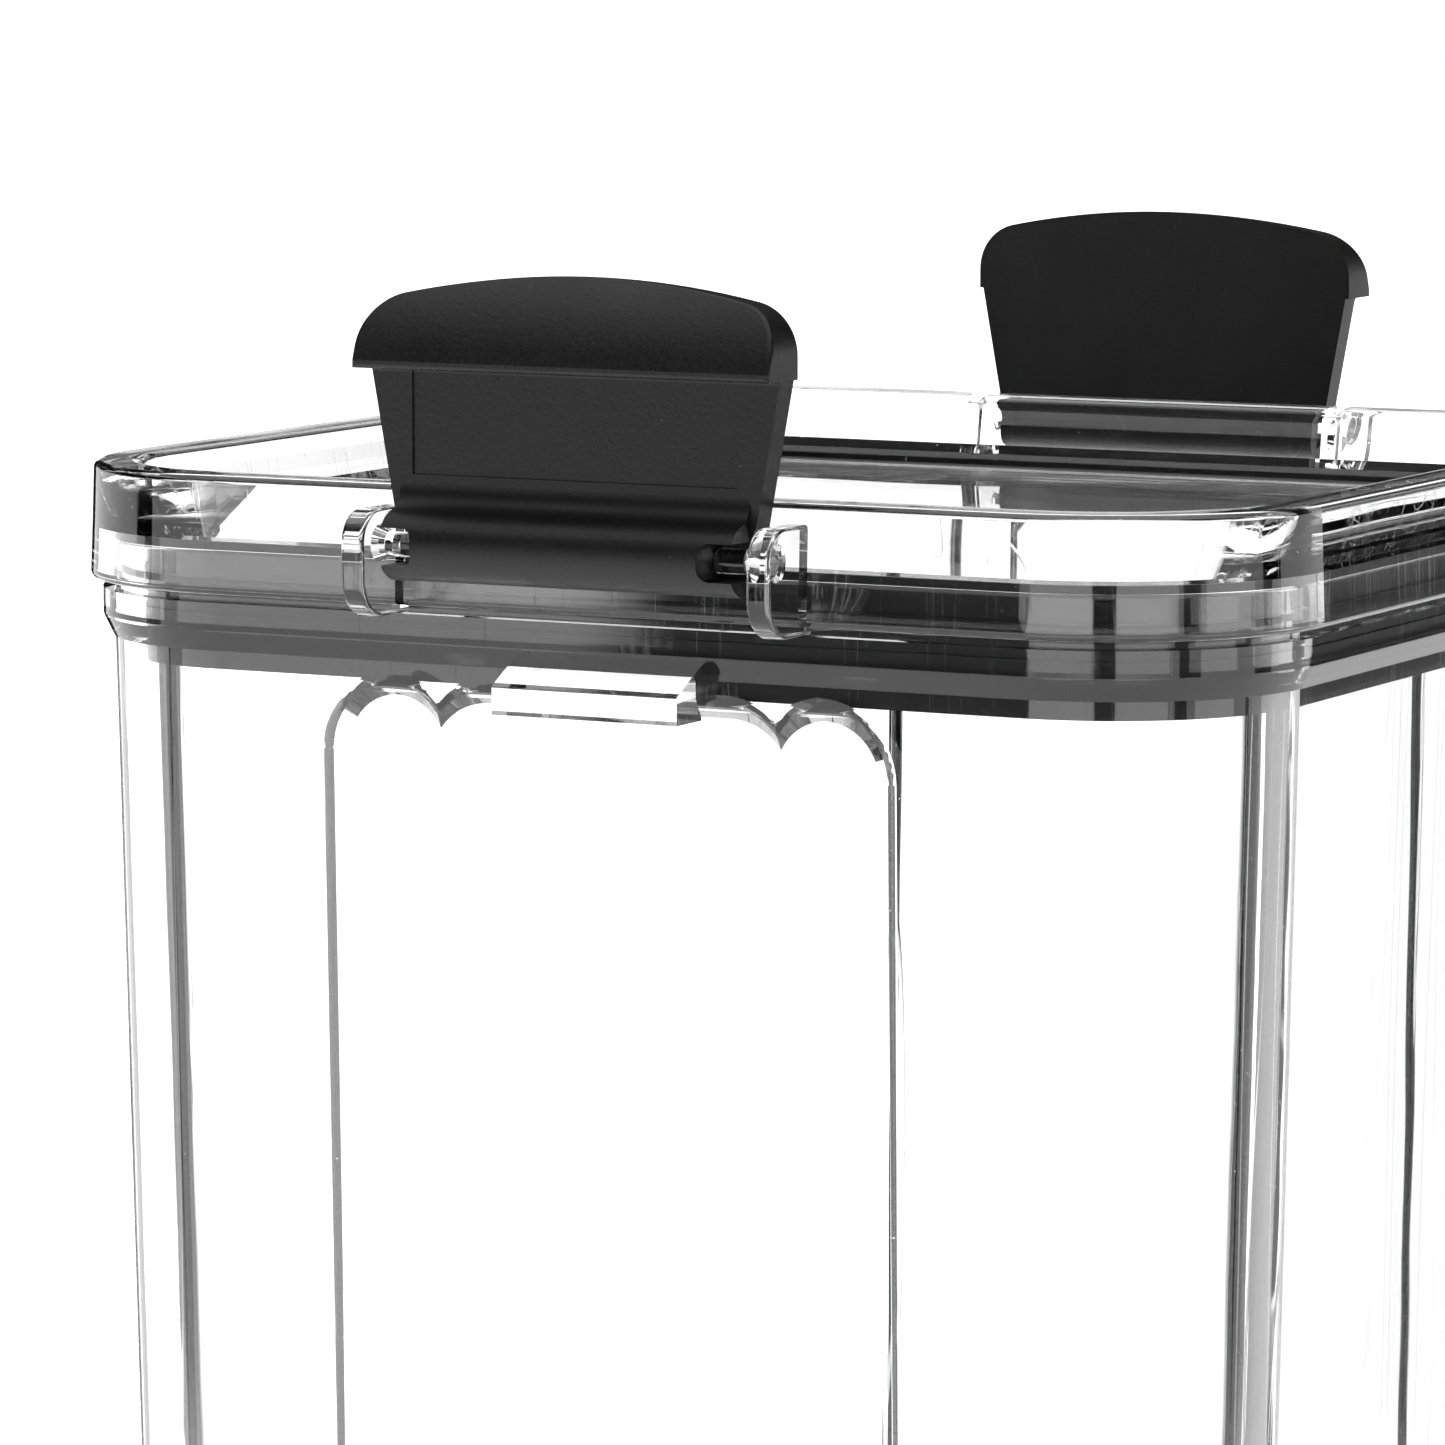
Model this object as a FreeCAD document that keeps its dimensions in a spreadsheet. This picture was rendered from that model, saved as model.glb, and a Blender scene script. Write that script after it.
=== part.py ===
import FreeCAD, Part
import math
import os
import re
import Sketcher
from FreeCAD import Placement, Rotation, Vector

# A square clear food canister: a jar, a lid with a soft gasket, and two flip latches on the lid that
# hook under catches on the jar. Millimetres, +Z up. The origin is the middle of the foot, the front is -Y.
# The latches are drawn standing open.

os.makedirs("parts", exist_ok=True)
doc = FreeCAD.newDocument("canister")

# Driving dimensions. A height called "drop" is measured down from the top of the lid, a "half" is half the
# width of a square, and hinge sizes run from the latch's hinge axis: "out" away from the jar, "up" along it.
DIMENSIONS = {
    "lid_top": 165.0,
    # jar
    "foot_half": 59.9, "wall_top_half": 63.0, "wall_top_corner": 19.6,
    "collar_half": 64.2, "collar_corner": 20.8, "collar_drop": 12.5, "collar_bend_drop": 15.2,
    "collar_foot_half": 63.2, "collar_foot_drop": 17.3,
    "neck_half": 62.9, "neck_corner": 19.5, "rim_drop": 7.45,
    "mouth_half": 60.4, "mouth_corner": 17.0, "floor_half": 57.0, "floor_high": 4.5,
    "ring_half": 49.0, "ring_corner": 11.0, "ring_depth": 1.5,
    "foot_round": 4.0, "floor_round": 5.0, "collar_round": 0.7, "rim_round": 0.4,
    # finger recess in the front and back walls, given at its floor
    "recess_depth": 1.1, "recess_half": 28.5, "recess_foot": 15.0, "recess_foot_round": 10.0,
    "recess_lean": 58.0, "recess_edge": 2.0, "lobe_x": 23.2, "lobe_drop": 26.1, "lobe_rad": 5.5,
    "cusp_x": 18.3, "cusp_drop": 23.6, "bay_flat_half": 13.0, "bay_drop": 20.9, "bay_rad": 6.55,
    # catch
    "catch_half": 9.9, "catch_out": 66.8, "catch_back_out": 63.7, "catch_back_drop": 17.0,
    "catch_front_drop": 18.6, "catch_foot_drop": 21.3, "catch_root": 60.85,
    # lid
    "lid_half": 65.0, "lid_corner": 21.6, "skirt_half": 65.42, "skirt_drop": 11.6,
    "skirt_thick": 2.0, "tray_half": 60.5, "tray_corner": 17.1, "tray_floor_half": 56.9,
    "tray_drop": 7.8, "tray_thick": 2.0, "groove_drop": 6.5,
    "plug_half": 58.9, "plug_corner": 15.5, "plug_drop": 19.1, "plug_thick": 1.8,
    "lid_round": 0.8, "tray_round": 0.7, "tray_edge": 1.2, "skirt_round": 0.7,
    # gasket
    "seal_inner": 59.0, "seal_flange_half": 63.1, "seal_top_drop": 6.6, "seal_flange_thick": 0.8,
    "seal_sleeve_half": 59.85, "seal_foot_drop": 19.3, "fin_half": 60.1, "fin_tall": 0.8, "fin_count": 3,
    "fin_first_drop": 10.4, "fin_pitch": 3.4,
    # hinge ears and pins on the lid
    "axis_out": 4.7, "axis_drop": 5.2, "ear_root": 0.6, "ear_inner": 20.3, "ear_thick": 2.45,
    "ear_front": 3.4, "ear_top_drop": 1.95, "ear_foot_drop": 12.3, "ear_top_round": 3.2,
    "ear_foot_round": 4.0, "ear_edge": 0.45,
    "pin_rad": 1.2, "pin_tip": 16.0, "boss_rad": 1.8, "boss_tip_rad": 1.3, "boss_long": 1.2, "pin_root": 0.3,
    # latch
    "barrel_rad": 3.4, "barrel_half": 18.6, "plate_front": 1.0, "plate_thick": 2.8, "plate_foot_up": 1.5,
    "heel_out": 3.1, "heel_up": 0.6, "heel_top_up": 2.4, "plate_low_up": 1.8,
    "plate_low_half": 19.2, "flare_up": 3.0, "plate_high_half": 21.7,
    "hood_up": 16.7, "hood_out": 2.3, "hood_edge": 0.8, "hood_bow": 18.0, "hood_crest": 3.0,
    "hood_top_up": 25.6, "hood_half": 22.1, "hood_side_up": 22.845, "arch_rad": 90.0,
    "web_round": 2.5, "hood_round": 5.0, "edge_round": 0.45, "trim_reach": 12.0, "trim_margin": 4.0,
    "slot_tall": 3.6, "slot_round": 1.1, "slot_end": 15.2,
    "panel_half": 17.3, "panel_foot_up": 6.6, "panel_depth": 0.2,
}

dims = doc.addObject("Spreadsheet::Sheet", "Dims")
for row, (alias, size) in enumerate(DIMENSIONS.items(), start=1):
    dims.set(f"A{row}", alias)
    dims.set(f"B{row}", str(size))
    dims.setAlias(f"B{row}", alias)
doc.recompute()


def bound(formula):
    """The formula with each dimension's name written as its cell in the sheet."""
    return re.sub(r"\b[a-z]\w*\b(?!\()", r"Dims.\g<0>", formula)


def number(formula):
    """The formula's value now."""
    return float(dims.evalExpression(bound(formula)))


def new_body(label):
    """A body of its own for one sub-part."""
    body = doc.addObject("PartDesign::Body", label)
    body.Label = label
    return body


def origin_plane(body, plane):
    return next(item for item in body.Origin.OriginFeatures if item.Role == plane)


def new_sketch(body, name, plane, offset="0"):
    """A sketch on one of the body's own origin planes, moved along the plane's normal by the offset."""
    sketch = body.newObject("Sketcher::SketchObject", name)
    sketch.AttachmentSupport = [(origin_plane(body, plane), "")]
    sketch.MapMode = "FlatFace"
    sketch.AttachmentOffset = Placement(Vector(0, 0, number(offset)), Rotation())
    sketch.setExpression("AttachmentOffset.Base.z", bound(offset))
    return sketch


def constrain(sketch, formula, *what):
    """One constraint of the sketch whose value is bound to the sheet."""
    index = sketch.addConstraint(Sketcher.Constraint(*what, number(formula)))
    sketch.renameConstraint(index, f"size{index}")
    sketch.setExpression(f"Constraints.size{index}", bound(formula))


def pin_down(sketch, edge, end, point):
    """Hold one end of an edge at a point given as two formulas."""
    constrain(sketch, point[0], "DistanceX", edge, end)
    constrain(sketch, point[1], "DistanceY", edge, end)


def draw_outline(sketch, corners):
    """A closed outline. A corner is (x, y), or (x, y, radius) where the edge that leaves it is an arc
    which bulges to the left of the way along it."""
    spots = [Vector(number(corner[0]), number(corner[1]), 0) for corner in corners]
    edges = []
    for here, corner in enumerate(corners):
        start, end = spots[here], spots[(here + 1) % len(spots)]
        if len(corner) == 2:
            edges.append(sketch.addGeometry(Part.LineSegment(start, end)))
            continue
        radius = number(corner[2])
        chord = end - start
        rise = radius - math.sqrt(max(radius ** 2 - chord.Length ** 2 / 4, 0.0))
        middle = (start + end) / 2 + Vector(-chord.y, chord.x, 0).normalize() * rise
        edges.append(sketch.addGeometry(Part.Arc(start, middle, end)))
        constrain(sketch, corner[2], "Radius", edges[-1])
    for here, edge in enumerate(edges):
        # an arc that bulges to the left runs clockwise, so the sketch swaps its ends
        start_end = 1 if len(corners[here]) == 2 else 2
        last = here - 1
        last_end = 2 if len(corners[last]) == 2 else 1
        sketch.addConstraint(Sketcher.Constraint("Coincident", edges[last], last_end, edge, start_end))
        pin_down(sketch, edge, start_end, corners[here])


def draw_square(sketch, half, corner):
    """A square about the origin with rounded corners, from lines and arcs that meet smoothly."""
    side, rad = number(half), number(corner)
    flat = side - rad
    edges = []
    for quarter in range(4):
        turn = Rotation(Vector(0, 0, 1), 90 * quarter)
        start, end = turn.multVec(Vector(side, -flat, 0)), turn.multVec(Vector(side, flat, 0))
        edges.append(sketch.addGeometry(Part.LineSegment(start, end)))
        hub = turn.multVec(Vector(flat, flat, 0))
        swing = math.radians(90 * quarter)
        arc = Part.ArcOfCircle(Part.Circle(hub, Vector(0, 0, 1), rad), swing, swing + math.pi / 2)
        edges.append(sketch.addGeometry(arc))
    for here in range(8):
        sketch.addConstraint(Sketcher.Constraint("Tangent", edges[here - 1], 2, edges[here], 1))
    for quarter in range(4):
        line, arc = edges[2 * quarter], edges[2 * quarter + 1]
        upright = quarter % 2 == 0
        sketch.addConstraint(Sketcher.Constraint("Vertical" if upright else "Horizontal", line))
        sign = "" if quarter in (0, 1) else "-"
        constrain(sketch, f"{sign}({half})", "DistanceX" if upright else "DistanceY", line, 1)
        if quarter:
            sketch.addConstraint(Sketcher.Constraint("Equal", edges[1], arc))
        else:
            constrain(sketch, corner, "Radius", arc)


def square_sketch(body, name, level, half, corner):
    sketch = new_sketch(body, name, "XY_Plane", level)
    draw_square(sketch, half, corner)
    return sketch


def solid_volume(body):
    """The volume of the body so far."""
    return body.Tip.Shape.Volume if body.Tip and "Sketch" not in body.Tip.TypeId else 0.0


def finish(body, item, before):
    """Make the new feature the body's last one, and check that it worked."""
    body.Tip = item
    doc.recompute()
    if "Invalid" in item.State or abs(item.Shape.Volume - before) < 1e-3:
        raise RuntimeError(f"{item.Label} failed or changed nothing")
    return item


def feature(body, kind, name, profile, **settings):
    """A feature of the body made from a profile. A text setting is a formula bound to the sheet."""
    before = solid_volume(body)
    item = body.newObject("PartDesign::" + kind, name)
    item.Profile = profile
    for key, setting in settings.items():
        if isinstance(setting, str):
            item.setExpression(key, bound(setting))
        else:
            setattr(item, key, setting)
    return finish(body, item, before)


def block(body, kind, name, level, half, corner, length, down=False, far_half=None):
    """A pad or a pocket of a rounded square, upwards from the level or down from it. Where far_half is given
    the sides lean, to reach that half width at the far end."""
    profile = square_sketch(body, name + "_outline", level, half, corner)
    # a pad runs up the normal and a pocket runs down it unless it is reversed
    settings = {"Length": length, "Reversed": down if kind == "Pad" else not down}
    if far_half:
        settings["TaperAngle"] = f"atan(({far_half} - ({half})) / ({length}))"
    return feature(body, kind, name, profile, **settings)


def fillet(body, name, radius, chosen):
    """Round each edge of the body so far that the test chooses."""
    before, base = solid_volume(body), body.Tip
    names = [f"Edge{place}" for place, edge in enumerate(base.Shape.Edges, start=1) if chosen(edge)]
    item = body.newObject("PartDesign::Fillet", name)
    item.Base = (base, names)
    item.setExpression("Radius", bound(radius))
    return finish(body, item, before)


def mirror(body, name, originals, *planes):
    """Repeat features on the other side of each of these origin planes of the body in turn."""
    before = solid_volume(body)
    whole = body.newObject("PartDesign::MultiTransform", name)
    whole.Originals = originals
    steps = []
    for plane in planes:
        step = body.newObject("PartDesign::Mirrored", f"{name}_{plane[:2]}")
        step.MirrorPlane = (origin_plane(body, plane), [""])
        steps.append(step)
    whole.Transformations = steps
    return finish(body, whole, before)


def level_edge(height, out_from=0.0, out_to=1e3):
    """A test for an edge that lies level at a height, and as far out from the middle as the two limits."""
    def test(edge):
        box = edge.BoundBox
        reach = max(abs(box.XMin), abs(box.XMax), abs(box.YMin), abs(box.YMax))
        flat = abs(box.ZMin - height) < 0.02 and abs(box.ZMax - height) < 0.02
        return flat and out_from <= reach <= out_to
    return test


def make_jar():
    body = new_body("jar_body")
    block(body, "Pad", "wall", "lid_top - collar_foot_drop", "wall_top_half", "wall_top_corner",
          "lid_top - collar_foot_drop", down=True, far_half="foot_half")
    fillet(body, "foot_rounding", "foot_round", level_edge(0.0))
    block(body, "Pad", "collar", "lid_top - collar_bend_drop", "collar_half", "collar_corner",
          "collar_bend_drop - collar_drop")
    block(body, "Pad", "collar_foot", "lid_top - collar_bend_drop", "collar_half", "collar_corner",
          "collar_foot_drop - collar_bend_drop", down=True, far_half="collar_foot_half")
    fillet(body, "collar_rounding", "collar_round",
           level_edge(number("lid_top - collar_bend_drop"), number("collar_half") - 0.05))
    block(body, "Pad", "neck", "lid_top - collar_drop", "neck_half", "neck_corner", "collar_drop - rim_drop")
    block(body, "Pocket", "cavity", "lid_top - rim_drop", "mouth_half", "mouth_corner",
          "lid_top - rim_drop - floor_high", down=True, far_half="floor_half")
    block(body, "Pocket", "foot_hollow", "0", "ring_half", "ring_corner", "ring_depth")
    mirror(body, "other_recess", [finger_recess(body)], "XZ_Plane")
    fillet(body, "recess_rounding", "recess_edge", on_recess_edge)
    catch = new_sketch(body, "catch_profile", "YZ_Plane", "-catch_half")
    draw_outline(catch, [("-catch_root", "lid_top - catch_back_drop"),
                         ("-catch_root", "lid_top - catch_foot_drop"),
                         ("-catch_out", "lid_top - catch_foot_drop"),
                         ("-catch_out", "lid_top - catch_front_drop"),
                         ("-catch_back_out", "lid_top - catch_back_drop")])
    hook = feature(body, "Pad", "catch", catch, Length="2 * catch_half")
    mirror(body, "other_catch", [hook], "XZ_Plane")
    fillet(body, "floor_rounding", "floor_round", level_edge(number("floor_high")))
    fillet(body, "rim_rounding", "rim_round", level_edge(number("lid_top - rim_drop")))
    return body


def on_recess_edge(edge):
    """A test for an edge round the mouth of a finger recess."""
    middle = edge.valueAt((edge.FirstParameter + edge.LastParameter) / 2)
    rise = number("lid_top - collar_foot_drop")
    wall = number("foot_half") + number("wall_top_half - foot_half") * middle.z / rise
    inside = abs(middle.x) < number("recess_half + 2 * recess_depth")
    between = number("foot_round") + 0.1 < middle.z < rise - 0.1
    return inside and between and abs(abs(middle.y) - wall) < 0.02


def finger_recess(body):
    """The pocket in the front wall: straight sides, a round foot and a top of two lobes with a bay between.
    Its floor leans back with the wall, and its sides slope out from the floor."""
    sketch = new_sketch(body, "recess_outline", "XZ_Plane", "foot_half - recess_depth")
    lean = "atan((wall_top_half - foot_half) / (lid_top - collar_foot_drop))"
    sketch.AttachmentOffset = Placement(sketch.AttachmentOffset.Base, Rotation(Vector(1, 0, 0), number(lean)))
    sketch.setExpression("AttachmentOffset.Rotation.Axis.x", "1")
    sketch.setExpression("AttachmentOffset.Rotation.Angle", bound(lean))
    lobe_mid, cusp, bay_top = "lid_top - lobe_drop", "lid_top - cusp_drop", "lid_top - bay_drop"
    foot_mid = "recess_foot + recess_foot_round"
    draw_outline(sketch, [
        ("-recess_half", lobe_mid, "lobe_rad"), ("-lobe_x", lobe_mid + " + lobe_rad", "lobe_rad"),
        ("-cusp_x", cusp, "bay_rad"), ("-bay_flat_half", bay_top),
        ("bay_flat_half", bay_top, "bay_rad"), ("cusp_x", cusp, "lobe_rad"),
        ("lobe_x", lobe_mid + " + lobe_rad", "lobe_rad"), ("recess_half", lobe_mid),
        ("recess_half", foot_mid, "recess_foot_round"), ("recess_half - recess_foot_round", "recess_foot"),
        ("recess_foot_round - recess_half", "recess_foot", "recess_foot_round"), ("-recess_half", foot_mid),
    ])
    return feature(body, "Pocket", "recess", sketch, Length="4 * recess_depth", Reversed=True,
                   TaperAngle="recess_lean")


def make_lid():
    body = new_body("lid_shell")
    block(body, "Pad", "rim", "lid_top", "lid_half", "lid_corner", "skirt_drop", down=True,
          far_half="skirt_half")
    block(body, "Pocket", "skirt_hollow", "lid_top - skirt_drop", "skirt_half - skirt_thick",
          "lid_corner + skirt_half - lid_half - skirt_thick", "skirt_drop - groove_drop")
    block(body, "Pad", "plug", "lid_top - groove_drop", "plug_half", "plug_corner", "plug_drop - groove_drop",
          down=True)
    block(body, "Pocket", "plug_hollow", "lid_top - plug_drop", "plug_half - plug_thick",
          "plug_corner - plug_thick", "plug_drop - tray_drop - tray_thick")
    block(body, "Pocket", "tray", "lid_top", "tray_half", "tray_corner", "tray_drop", down=True,
          far_half="tray_floor_half")
    fillet(body, "tray_rounding", "tray_round",
           level_edge(number("lid_top - tray_drop"), out_to=number("plug_half")))
    land_mid = number("(lid_half + tray_half) / 2")
    fillet(body, "rim_rounding", "lid_round", level_edge(number("lid_top"), out_from=land_mid))
    fillet(body, "tray_edge_rounding", "tray_edge", level_edge(number("lid_top"), out_to=land_mid))
    fillet(body, "skirt_rounding", "skirt_round",
           level_edge(number("lid_top - skirt_drop"), number("skirt_half") - 0.05))
    add_ears(body)
    return body


def add_ears(body):
    """Four ears with short pins, one pair on the front and one on the back. A latch snaps between a pair."""
    hub_y, hub_z = "-(lid_half + axis_out)", "(lid_top - axis_drop)"
    root, front = "ear_root - lid_half", f"{hub_y} - ear_front"
    top, foot = "lid_top - ear_top_drop", "lid_top - ear_foot_drop"
    ear = new_sketch(body, "ear_outline", "YZ_Plane", "ear_inner")
    draw_outline(ear, [(root, top), (root, foot), (f"{front} + ear_foot_round", foot, "ear_foot_round"),
                       (front, foot + " + ear_foot_round"),
                       (front, top + " - ear_top_round", "ear_top_round"),
                       (f"{front} + ear_top_round", top)])
    pieces = [feature(body, "Pad", "ear", ear, Length="ear_thick")]
    boss = disc_sketch(body, "boss_outline", "ear_inner", "boss_rad", hub_y, hub_z)
    pieces.append(feature(body, "Pad", "boss", boss, Length="boss_long", Reversed=True,
                          TaperAngle="atan((boss_tip_rad - boss_rad) / boss_long)"))
    pin = disc_sketch(body, "pin_outline", "ear_inner + pin_root", "pin_rad", hub_y, hub_z)
    pieces.append(feature(body, "Pad", "pin", pin, Length="ear_inner + pin_root - pin_tip", Reversed=True))
    mirror(body, "other_ears", pieces, "YZ_Plane", "XZ_Plane")
    fillet(body, "ear_rounding", "ear_edge", on_ear_edge)


def disc_sketch(body, name, offset, radius, across, up):
    """A circle in a plane square to the hinge axis."""
    sketch = new_sketch(body, name, "YZ_Plane", offset)
    middle = Vector(number(across), number(up), 0)
    circle = sketch.addGeometry(Part.Circle(middle, Vector(0, 0, 1), number(radius)))
    constrain(sketch, radius, "Radius", circle)
    pin_down(sketch, circle, 3, (across, up))
    return sketch


def on_ear_edge(edge):
    """A test for the edges round the flat sides of an ear, outboard of the skirt."""
    box = edge.BoundBox
    sides = (number("ear_inner"), number("ear_inner + ear_thick"))
    flat = any(abs(abs(box.XMin) - side) < 0.01 and abs(abs(box.XMax) - side) < 0.01 for side in sides)
    outboard = max(abs(box.YMin), abs(box.YMax)) > number("skirt_half + ear_edge")
    return flat and outboard and not edge.isClosed()


def make_gasket():
    body = new_body("lid_gasket")
    corner = "plug_corner"
    block(body, "Pad", "flange", "lid_top - seal_top_drop - seal_flange_thick", "seal_flange_half",
          f"{corner} + seal_flange_half - plug_half", "seal_flange_thick")
    block(body, "Pad", "sleeve", "lid_top - seal_foot_drop", "seal_sleeve_half",
          f"{corner} + seal_sleeve_half - plug_half", "seal_foot_drop - seal_top_drop")
    for fin in range(int(number("fin_count"))):
        block(body, "Pad", f"fin_{fin + 1}", f"lid_top - fin_first_drop - {fin} * fin_pitch - fin_tall",
              "fin_half", f"{corner} + fin_half - plug_half", "fin_tall")
    block(body, "Pocket", "bore", "lid_top - seal_foot_drop", "seal_inner",
          f"{corner} + seal_inner - plug_half", "seal_foot_drop - seal_top_drop")
    return body


def hinge_place(point):
    """How far a point lies outboard of the front hinge axis, and how far above it."""
    return -point.y - number("lid_half + axis_out"), point.z - number("lid_top - axis_drop")


def along_x(out, up):
    """A test for an edge that runs along X at a place given from the front hinge axis."""
    def test(edge):
        ends = [hinge_place(corner.Point) for corner in edge.Vertexes]
        level = edge.BoundBox.XLength > 1
        return level and all(abs(end[0] - number(out)) + abs(end[1] - number(up)) < 0.05 for end in ends)
    return test


def upper_corner(edge):
    """A test for the two edges at the ends of the latch's arched top."""
    box = edge.BoundBox
    above = hinge_place(edge.CenterOfMass)[1] - number("hood_side_up")
    return box.XLength < 0.05 and abs(abs(box.XMin) - number("hood_half")) < 0.05 and abs(above) < 1


def hood_edge(edge):
    """A test for the edges round the hood's outer face."""
    ends = [hinge_place(corner.Point) for corner in edge.Vertexes]
    return all(end[0] > 0.01 - number("hood_crest") and end[1] > number("hood_up") - 0.01 for end in ends)


def make_latch(label, turn):
    """One flip latch, drawn at the front of the lid and turned about the canister's middle line."""
    body = new_body(label)
    hub_y, hub_z = "-(lid_half + axis_out)", "(lid_top - axis_drop)"
    barrel = disc_sketch(body, "barrel_outline", "-barrel_half", "barrel_rad", hub_y, hub_z)
    feature(body, "Pad", "barrel", barrel, Length="2 * barrel_half")

    def side(out, up):
        return f"{hub_y} - ({out})", f"{hub_z} + {up}"
    profile = new_sketch(body, "plate_profile", "YZ_Plane", "-hood_half")
    back = "-plate_front - plate_thick"
    draw_outline(profile, [
        side("-plate_front", "plate_foot_up"), side("-plate_front", "hood_up"), side("hood_out", "hood_up"),
        side("hood_out", "hood_up + hood_edge") + ("hood_bow",), side("-hood_crest", "hood_top_up"),
        side(back, "hood_top_up"), side(back, "heel_top_up"), side("-heel_out", "heel_up")])
    feature(body, "Pad", "plate", profile, Length="2 * hood_half")
    fillet(body, "web_rounding", "web_round",
           along_x("-plate_front", "sqrt(barrel_rad ^ 2 - plate_front ^ 2)"))
    trim = new_sketch(body, "front_outline", "XZ_Plane", "lid_half + axis_out + trim_reach")
    outline = []
    for sign in ("-", ""):
        edge = [("barrel_half", "-barrel_rad - trim_margin"), ("barrel_half", "plate_low_up"),
                ("plate_low_half", "flare_up"), ("plate_high_half", "hood_up"),
                ("hood_half", "hood_up"), ("hood_half", "hood_side_up")]
        points = [(sign + across, f"{hub_z} + {up}") for across, up in edge]
        outline += points if sign else points[::-1]
    outline[5] += ("arch_rad",)
    draw_outline(trim, outline)
    far, low = "hood_half + trim_margin", f"{hub_z} - barrel_rad - 2 * trim_margin"
    high = f"{hub_z} + hood_top_up + trim_margin"
    draw_outline(trim, [(f"-({far})", low), (far, low), (far, high), (f"-({far})", high)])
    feature(body, "Pocket", "side_trim", trim, Length="2 * trim_reach")
    fillet(body, "corner_rounding", "hood_round", upper_corner)
    panel = new_sketch(body, "panel_outline", "XZ_Plane", "lid_half + axis_out - plate_front")
    low, high = f"{hub_z} + panel_foot_up", f"{hub_z} + hood_up"
    draw_outline(panel, [("-panel_half", low), ("panel_half", low),
                         ("panel_half", high), ("-panel_half", high)])
    feature(body, "Pocket", "panel", panel, Length="panel_depth")
    fillet(body, "hood_rounding", "edge_round", hood_edge)
    slot = new_sketch(body, "slot_outline", "XZ_Plane", "lid_half + axis_out + barrel_rad + trim_margin")
    top, foot = f"{hub_z} + slot_tall / 2", f"{hub_z} - slot_tall / 2"
    draw_outline(slot, [
        ("slot_end + slot_round", foot, "slot_round"), ("slot_end", foot + " + slot_round"),
        ("slot_end", top + " - slot_round", "slot_round"), ("slot_end + slot_round", top),
        ("barrel_half + trim_margin", top), ("barrel_half + trim_margin", foot)])
    draw_outline(slot, [
        ("-slot_end", foot + " + slot_round", "slot_round"), ("-slot_end - slot_round", foot),
        ("-barrel_half - trim_margin", foot), ("-barrel_half - trim_margin", top),
        ("-slot_end - slot_round", top, "slot_round"), ("-slot_end", top + " - slot_round")])
    feature(body, "Pocket", "pin_slots", slot, Length="barrel_rad + trim_margin + slot_tall / 2")
    body.Placement = Placement(Vector(0, 0, 0), Rotation(Vector(0, 0, 1), turn))
    return body


sub_parts = [make_jar(), make_lid(), make_gasket(),
             make_latch("front_latch", 0), make_latch("back_latch", 180)]
doc.recompute()

for item in doc.Objects:
    if "Invalid" in item.State or "Error" in item.State:
        raise RuntimeError(f"{item.Label} failed: {item.State}")
for item in sub_parts:
    if item.Shape.isNull() or not item.Shape.isValid():
        raise RuntimeError(f"{item.Label} has no sound shape")
for item in sub_parts:
    item.Shape.exportStep(f"parts/{item.Label}.step")
    box = item.Shape.BoundBox
    print(f"{item.Label}: {item.Shape.Volume / 1000:.1f} cm3, "
          f"z {box.ZMin:.2f} to {box.ZMax:.2f}, solids {len(item.Shape.Solids)}")
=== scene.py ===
import math

import bpy
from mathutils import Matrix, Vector


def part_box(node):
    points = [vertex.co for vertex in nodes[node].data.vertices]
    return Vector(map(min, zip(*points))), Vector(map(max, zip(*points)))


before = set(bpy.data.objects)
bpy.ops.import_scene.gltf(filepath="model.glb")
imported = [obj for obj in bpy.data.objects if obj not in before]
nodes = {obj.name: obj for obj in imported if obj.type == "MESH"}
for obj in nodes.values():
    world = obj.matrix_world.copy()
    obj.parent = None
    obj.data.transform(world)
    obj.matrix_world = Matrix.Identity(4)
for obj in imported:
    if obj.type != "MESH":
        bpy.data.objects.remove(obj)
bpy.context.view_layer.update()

# The photograph's view: the camera's direction round the canister and how far it stands from the middle of
# the lid's top, in degrees and metres. The lid's middle shows right of and above the middle of the picture.
AZIMUTH, ELEVATION = 27.507, 7.0
DISTANCE = 0.7345
LID_RIGHT, LID_UP = 0.01778, 0.02855
SENSOR, LENS = 36.0, 179.7

# The studio, which clear plastic shows by refraction and by reflection. Headings run in degrees from +X
# towards +Y, and heights are sines of the angle above level. A white ring has dark gaps (heading, half
# width) from the gap foot up, and ends at the backdrop's top. The first two gaps stand either side of the
# photograph's view, and give its dark corners.
GAPS = ((133.7, 6.7), (103.0, 5.8), (67.0, 5.0), (22.5, 6.0), (-22.5, 6.0), (-67.5, 6.0), (-112.5, 6.0),
        (-157.5, 6.0))
GAP_EDGE = 0.4
GAP_FOOT = (-0.26, -0.23)
BACKDROP_TOP, BACKDROP_EDGE = 0.078, 0.01
WHITE, DARK = 1.55, 0.012
# the soft light overhead: its brightness, and the heights where it begins and is full
OVERHEAD, OVERHEAD_RISE = 1.4, (0.6, 0.85)

FLOOR_REACH = 6.0
CLEAR_BOUNCES, GLOSSY_BOUNCES = 28, 16


def view_axes():
    """Unit vectors from the canister to the camera, to the picture's right, and up the picture."""
    turn, tilt = math.radians(AZIMUTH), math.radians(ELEVATION)
    back = Vector((math.sin(turn) * math.cos(tilt), -math.cos(turn) * math.cos(tilt), math.sin(tilt)))
    right = Vector((math.cos(turn), math.sin(turn), 0.0))
    return back, right, back.cross(right)


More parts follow.
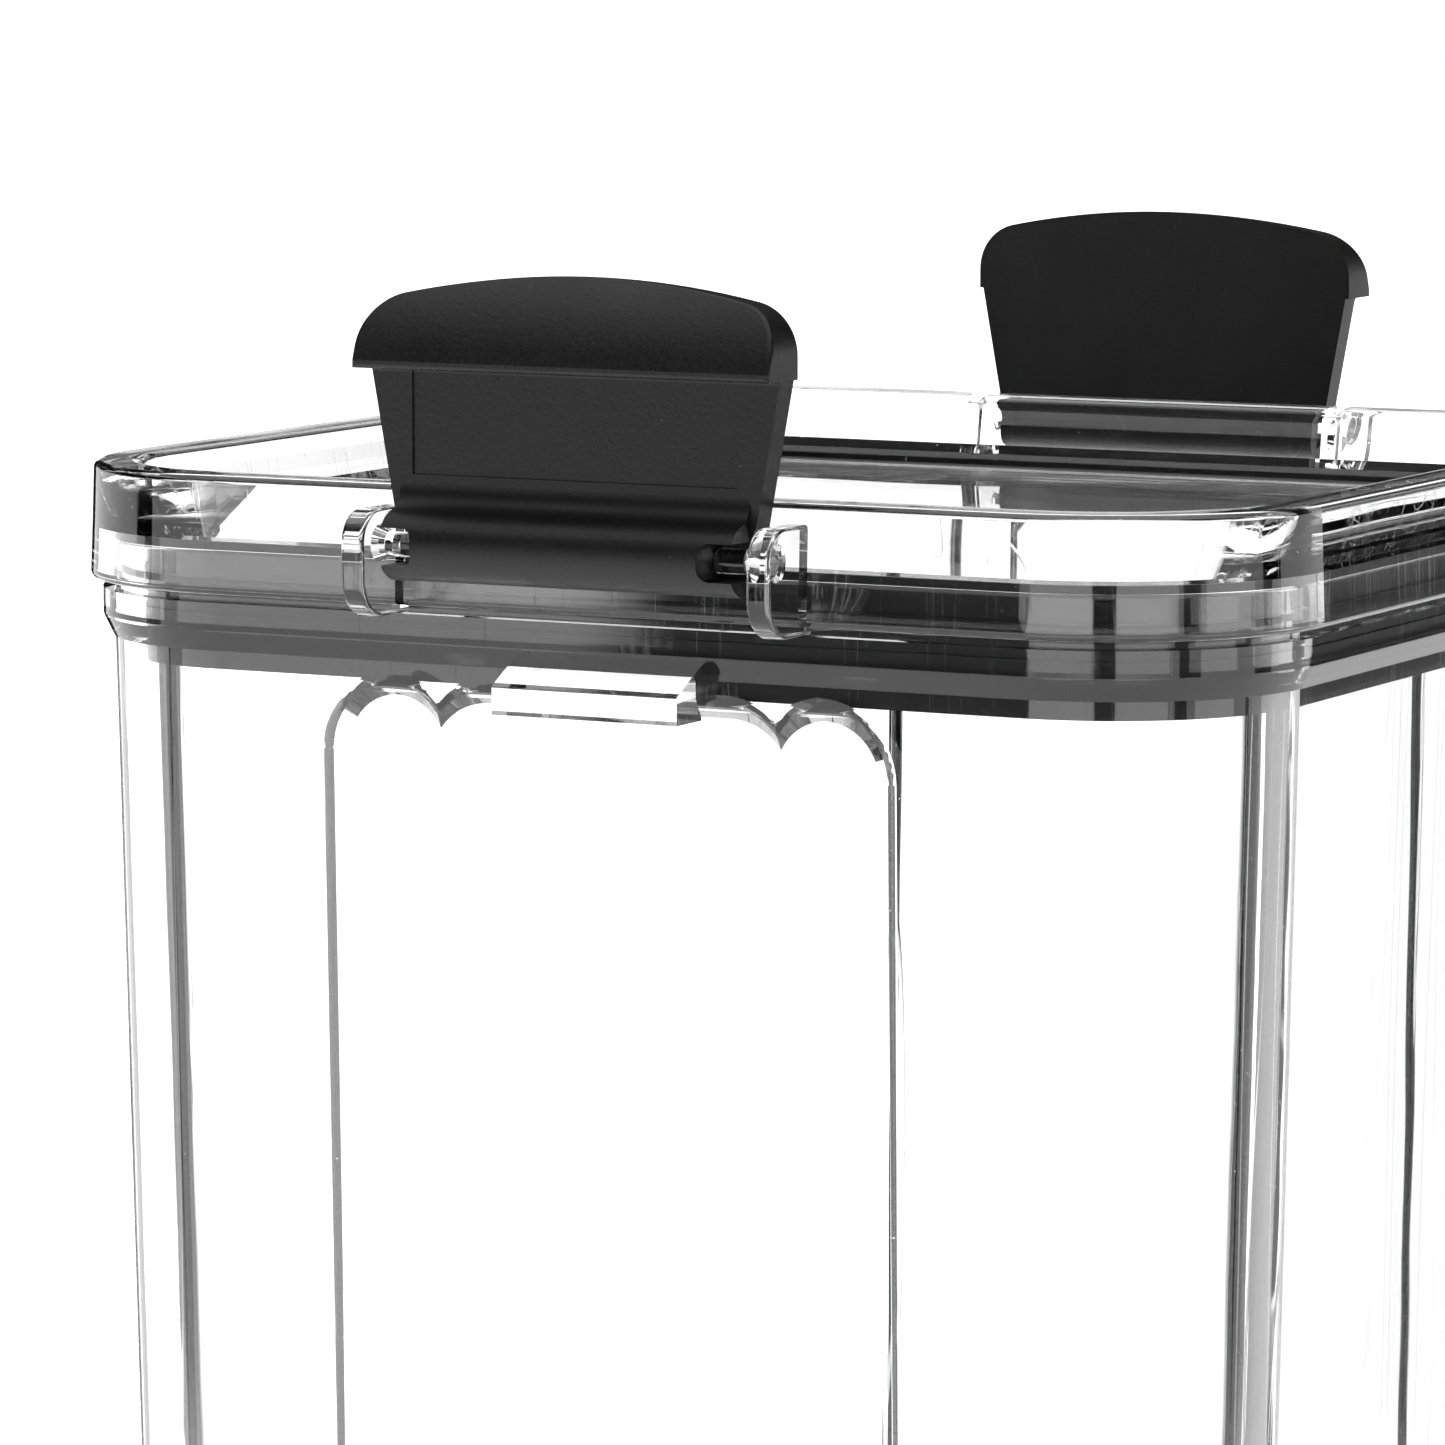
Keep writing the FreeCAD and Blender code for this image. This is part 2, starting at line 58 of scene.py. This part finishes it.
def make_camera():
    back, right, up = view_axes()
    lid_middle = Vector((0.0, 0.0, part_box("lid_shell")[1].z))
    data = bpy.data.cameras.new("camera")
    data.sensor_width, data.lens = SENSOR, LENS
    data.clip_start, data.clip_end = 0.05, 60.0
    camera = bpy.data.objects.new("camera", data)
    camera.location = lid_middle + back * DISTANCE - right * LID_RIGHT - up * LID_UP
    camera.rotation_mode = "QUATERNION"
    camera.rotation_quaternion = (-back).to_track_quat("-Z", "Y")
    bpy.context.scene.collection.objects.link(camera)
    bpy.context.scene.camera = camera


class Graph:
    """Short ways to build a node tree."""

    def __init__(self, tree):
        self.tree = tree

    def join(self, value, socket):
        """Link an output to the socket, or set a plain value on it."""
        if isinstance(value, bpy.types.NodeSocket):
            self.tree.links.new(value, socket)
        else:
            socket.default_value = value

    def add(self, kind, inputs, **settings):
        node = self.tree.nodes.new("ShaderNode" + kind)
        for key, value in settings.items():
            setattr(node, key, value)
        for key, value in inputs.items():
            self.join(value, node.inputs[key])
        return node

    def calc(self, operation, first, second=0.0):
        return self.add("Math", {0: first, 1: second}, operation=operation).outputs[0]

    def ramp(self, value, start, end, low=0.0, high=1.0):
        """The value from start to end, eased to low to high."""
        inputs = {"Value": value, "From Min": start, "From Max": end, "To Min": low, "To Max": high}
        return self.add("MapRange", inputs, interpolation_type="SMOOTHSTEP").outputs[0]

    def blend(self, share, first, second):
        """First where the share is 0, second where it is 1."""
        return self.calc("ADD", self.calc("MULTIPLY", self.calc("SUBTRACT", 1.0, share), first),
                         self.calc("MULTIPLY", share, second))

    def place(self, turn=(0.0, 0.0, 0.0), scale=(1.0, 1.0, 1.0)):
        """A point's position on the object, in metres, turned and scaled."""
        coords = self.add("TexCoord", {}).outputs["Object"]
        return self.add("Mapping", {"Vector": coords, "Rotation": turn, "Scale": scale}).outputs[0]

    def noise(self, size, detail=2.0, place=None):
        """Smooth noise from 0 to 1 with lumps of a size in metres."""
        inputs = {"Vector": place or self.place(), "Scale": 1 / size, "Detail": detail}
        return self.add("TexNoise", inputs).outputs["Fac"]

    def specks(self, pitch, radius, share, place=None):
        """1 in small round specks: one to a cell of the pitch, in a share of the cells. They are drawn out
        into streaks where the place is scaled one way."""
        cells = self.add("TexVoronoi", {"Vector": place or self.place(), "Scale": 1 / pitch})
        near = self.ramp(cells.outputs["Distance"], 0.3 * radius / pitch, radius / pitch, 1.0, 0.0)
        pick = self.add("SeparateColor", {"Color": cells.outputs["Color"]}).outputs[0]
        return self.calc("MULTIPLY", near, self.calc("GREATER_THAN", pick, 1.0 - share))

    def scratches(self, turn, spread, width):
        """1 along fine lines, long one way."""
        lines = self.noise(spread, 0.0, self.place(turn, (1.0, 1.0, 0.03)))
        return self.ramp(self.calc("ABSOLUTE", self.calc("SUBTRACT", lines, 0.62)), 0.0, width, 1.0, 0.0)

    def total(self, *parts):
        """The sum of (share, value) parts."""
        whole = 0.0
        for share, value in parts:
            whole = self.calc("ADD", self.calc("MULTIPLY", value, share), whole)
        return whole


def new_material(name, **values):
    material = bpy.data.materials.new(name)
    material.use_nodes = True
    graph = Graph(material.node_tree)
    shader = material.node_tree.nodes["Principled BSDF"]
    for socket, value in values.items():
        shader.inputs[socket.replace("_", " ")].default_value = value
    return material, graph, shader


def add_relief(graph, shader, height):
    """A relief in metres."""
    bump = graph.add("Bump", {"Height": height, "Distance": 1.0, "Strength": 1.0})
    graph.join(bump.outputs["Normal"], shader.inputs["Normal"])


def clear_plastic(name):
    """Clear moulded plastic: slightly wavy, with light scratches and specks of dust."""
    material, graph, shader = new_material(name, Base_Color=(1.0, 1.0, 1.0, 1.0), IOR=1.57,
                                           Transmission_Weight=1.0)
    waves = graph.noise(0.014, 0.0)
    scratches = graph.scratches((0.2, 0.1, 0.0), 0.004, 0.012)
    specks = graph.specks(0.0013, 0.00008, 0.3)
    graph.join(graph.total((0.02, waves), (0.12, scratches), (0.2, specks)), shader.inputs["Roughness"])
    add_relief(graph, shader, graph.total((3e-5, waves), (-1e-6, scratches), (2e-5, specks)))
    return material


def black_silicone():
    """Smooth satin silicone with a little dust."""
    material, graph, shader = new_material("black_silicone", Specular_IOR_Level=0.4)
    specks = graph.specks(0.0015, 0.00007, 0.25)
    shade = graph.total((0.003, graph.noise(0.006)), (0.25, specks), (0.003, 1.0))
    graph.join(shade, shader.inputs["Base Color"])
    graph.join(graph.total((0.2, graph.noise(0.004)), (0.3, 1.0)), shader.inputs["Roughness"])
    add_relief(graph, shader, graph.total((8e-6, graph.noise(0.0008)), (1e-5, specks)))
    return material


def black_latch():
    """Black plastic with a fine matt grain, a few short straight scuffs and specks."""
    material, graph, shader = new_material("black_latch", Specular_IOR_Level=0.42)
    scuffs = graph.specks(0.0022, 0.00006, 0.12, graph.place((0.0, 0.9, 0.0), (1.0, 1.0, 0.06)))
    specks = graph.specks(0.0016, 0.00007, 0.25)
    grain = graph.noise(0.00045, 1.0)
    shade = graph.total((0.003, graph.noise(0.005)), (0.010, scuffs), (0.20, specks), (0.006, grain))
    graph.join(shade, shader.inputs["Base Color"])
    graph.join(graph.total((0.16, graph.noise(0.008)), (0.12, grain), (-0.08, scuffs), (0.30, 1.0)),
               shader.inputs["Roughness"])
    add_relief(graph, shader, graph.total((2.6e-5, grain), (1e-5, specks)))
    return material


def dress(node, material):
    mesh = nodes[node].data
    mesh.materials.clear()
    mesh.materials.append(material)


def make_world():
    """White to the camera. Everything else sees one studio: a low ring of white panels with dark gaps between
    them, a dark room above the ring and a soft light overhead."""
    world = bpy.data.worlds.new("studio")
    world.use_nodes = True
    world.node_tree.nodes.clear()
    world.cycles.sampling_method = "NONE"
    graph = Graph(world.node_tree)
    path = graph.add("LightPath", {})
    split = graph.add("SeparateXYZ", {0: graph.add("TexCoord", {}).outputs["Generated"]})
    heading = graph.calc("DEGREES", graph.calc("ARCTAN2", split.outputs["Y"], split.outputs["X"]))
    high = split.outputs["Z"]

    def window(middle, half, edge):
        """1 within half a width of a heading."""
        turned = graph.calc("SUBTRACT", heading, middle - 900.0)
        apart = graph.calc("ABSOLUTE", graph.calc("SUBTRACT", graph.calc("MODULO", turned, 360.0), 180.0))
        return graph.ramp(apart, half - edge, half + edge, 1.0, 0.0)

    gap = 0.0
    for middle, half in GAPS:
        gap = graph.calc("ADD", window(middle, half, GAP_EDGE), gap)
    gap = graph.calc("MULTIPLY", gap, graph.ramp(high, *GAP_FOOT))
    above = graph.ramp(high, BACKDROP_TOP - BACKDROP_EDGE, BACKDROP_TOP + BACKDROP_EDGE)
    gap = graph.calc("MAXIMUM", gap, above)
    ring = graph.blend(gap, WHITE, DARK)
    studio = graph.calc("ADD", ring, graph.calc("MULTIPLY", graph.ramp(high, *OVERHEAD_RISE), OVERHEAD))
    light = graph.blend(path.outputs["Is Camera Ray"], studio, 1.0)
    background = graph.add("Background", {"Color": light})
    graph.add("OutputWorld", {"Surface": background.outputs[0]})
    bpy.context.scene.world = world


def make_floor():
    """A pale floor that glows evenly and that the plastic neither mirrors nor shows through."""
    mesh = bpy.data.meshes.new("floor")
    reach = FLOOR_REACH
    mesh.from_pydata([(-reach, -reach, 0), (reach, -reach, 0), (reach, reach, 0), (-reach, reach, 0)], [],
                     [(0, 1, 2, 3)])
    floor = bpy.data.objects.new("floor", mesh)
    bpy.context.scene.collection.objects.link(floor)
    material, _, _ = new_material("floor", Base_Color=(0.9, 0.9, 0.9, 1.0), Roughness=0.9,
                                  Emission_Color=(1.0, 1.0, 1.0, 1.0), Emission_Strength=1.0)
    mesh.materials.append(material)
    floor.visible_transmission = False
    floor.visible_glossy = False


make_camera()
make_world()
make_floor()
clear = clear_plastic("clear_plastic")
dress("jar_body", clear)
dress("lid_shell", clear)
dress("lid_gasket", black_silicone())
latch = black_latch()
dress("front_latch", latch)
dress("back_latch", latch)
scene = bpy.context.scene
scene.view_settings.view_transform = "Standard"
scene.cycles.max_bounces = CLEAR_BOUNCES
scene.cycles.transmission_bounces = CLEAR_BOUNCES
scene.cycles.glossy_bounces = GLOSSY_BOUNCES
scene.cycles.use_denoising = True
